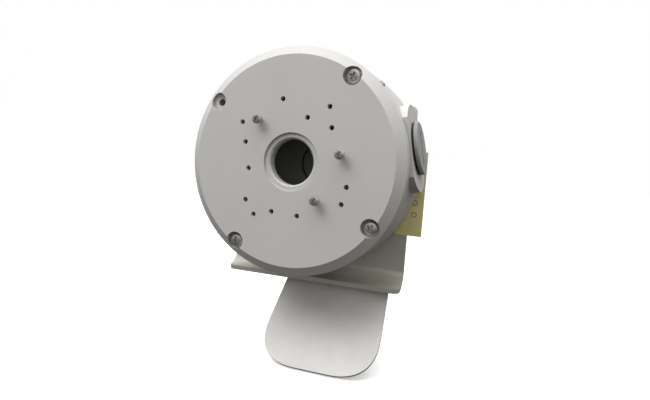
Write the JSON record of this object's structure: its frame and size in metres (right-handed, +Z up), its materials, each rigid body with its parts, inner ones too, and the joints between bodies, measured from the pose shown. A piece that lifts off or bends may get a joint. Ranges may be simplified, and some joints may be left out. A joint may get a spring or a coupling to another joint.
{
  "type": "camera junction box on a bracket",
  "caption": "Round cast junction box with a drilled cover, screwed to a folded stainless bracket with a lip and a leaning leaf.",
  "frame": {"origin": "on the box's axis, in the plane of the bracket leaf's back face", "axes": "+Y from the box towards what it is fixed on, +Z up along the plate, +X to the right of someone facing the cover"},
  "size_m": [0.1396, 0.0664, 0.1929],
  "materials": {
    "cast_cover": "satin light grey powder coat over die-cast aluminium",
    "cast_housing": "satin light grey powder coat over die-cast aluminium",
    "screw_steel": "bright zinc or stainless pan-head screws",
    "stainless": "satin stainless sheet",
    "leaf_steel": "fine brushed stainless sheet",
    "rubber": "matt black",
    "nylon": "natural nylon",
    "plug": "matt grey",
    "brass": "plain brass",
    "yellow_strip": "yellow tape with faint printed rings"
  },
  "bodies": {
    "base": {"rear_housing": "cast_housing", "cover_gasket": "rubber", "side_plug_seal": "rubber", "earth_screw": "brass", "earth_washer": "brass", "rear_gasket": "rubber", "bracket_plate": "stainless", "bracket_leaf": "leaf_steel", "marking_strip": "yellow_strip", "mount_screw_1": "screw_steel", "mount_washer_1": "screw_steel", "mount_screw_2": "screw_steel", "mount_washer_2": "screw_steel", "mount_screw_3": "screw_steel", "mount_washer_3": "screw_steel", "mount_screw_4": "screw_steel", "mount_washer_4": "screw_steel", "leaf_rivet_1": "stainless", "leaf_rivet_2": "stainless", "leaf_rivet_3": "stainless"},
    "cover": {"front_cover": "cast_cover", "screw_keeper_upper_right": "nylon", "screw_keeper_lower_left": "nylon", "screw_keeper_lower_right": "nylon"},
    "cover_screw_upper_right": {"cover_screw_upper_right": "screw_steel"},
    "cover_screw_lower_left": {"cover_screw_lower_left": "screw_steel"},
    "cover_screw_lower_right": {"cover_screw_lower_right": "screw_steel"},
    "camera_screw_right": {"camera_screw_right": "screw_steel"},
    "camera_screw_upper_left": {"camera_screw_upper_left": "screw_steel"},
    "camera_screw_lower": {"camera_screw_lower": "screw_steel"},
    "side_plug": {"side_plug": "plug"}
  },
  "joints": [
    {"name": "cover_lift", "type": "slide", "parent": "base", "child": "cover", "axis": [0, -1, 0], "range_m": [0, 0.08]},
    {"name": "cover_screw_upper_right_out", "type": "slide", "parent": "cover", "child": "cover_screw_upper_right", "axis": [0, -1, 0], "range_m": [0, 0.013]},
    {"name": "cover_screw_lower_left_out", "type": "slide", "parent": "cover", "child": "cover_screw_lower_left", "axis": [0, -1, 0], "range_m": [0, 0.013]},
    {"name": "cover_screw_lower_right_out", "type": "slide", "parent": "cover", "child": "cover_screw_lower_right", "axis": [0, -1, 0], "range_m": [0, 0.013]},
    {"name": "camera_screw_right_out", "type": "slide", "parent": "cover", "child": "camera_screw_right", "axis": [0, -1, 0], "range_m": [-0.0035, 0.0085]},
    {"name": "camera_screw_upper_left_out", "type": "slide", "parent": "cover", "child": "camera_screw_upper_left", "axis": [0, -1, 0], "range_m": [-0.0035, 0.0085]},
    {"name": "camera_screw_lower_out", "type": "slide", "parent": "cover", "child": "camera_screw_lower", "axis": [0, -1, 0], "range_m": [-0.0035, 0.0085]},
    {"name": "side_plug_out", "type": "slide", "parent": "base", "child": "side_plug", "axis": [0.9806, 0, 0.1959], "range_m": [0, 0.01]}
  ]
}
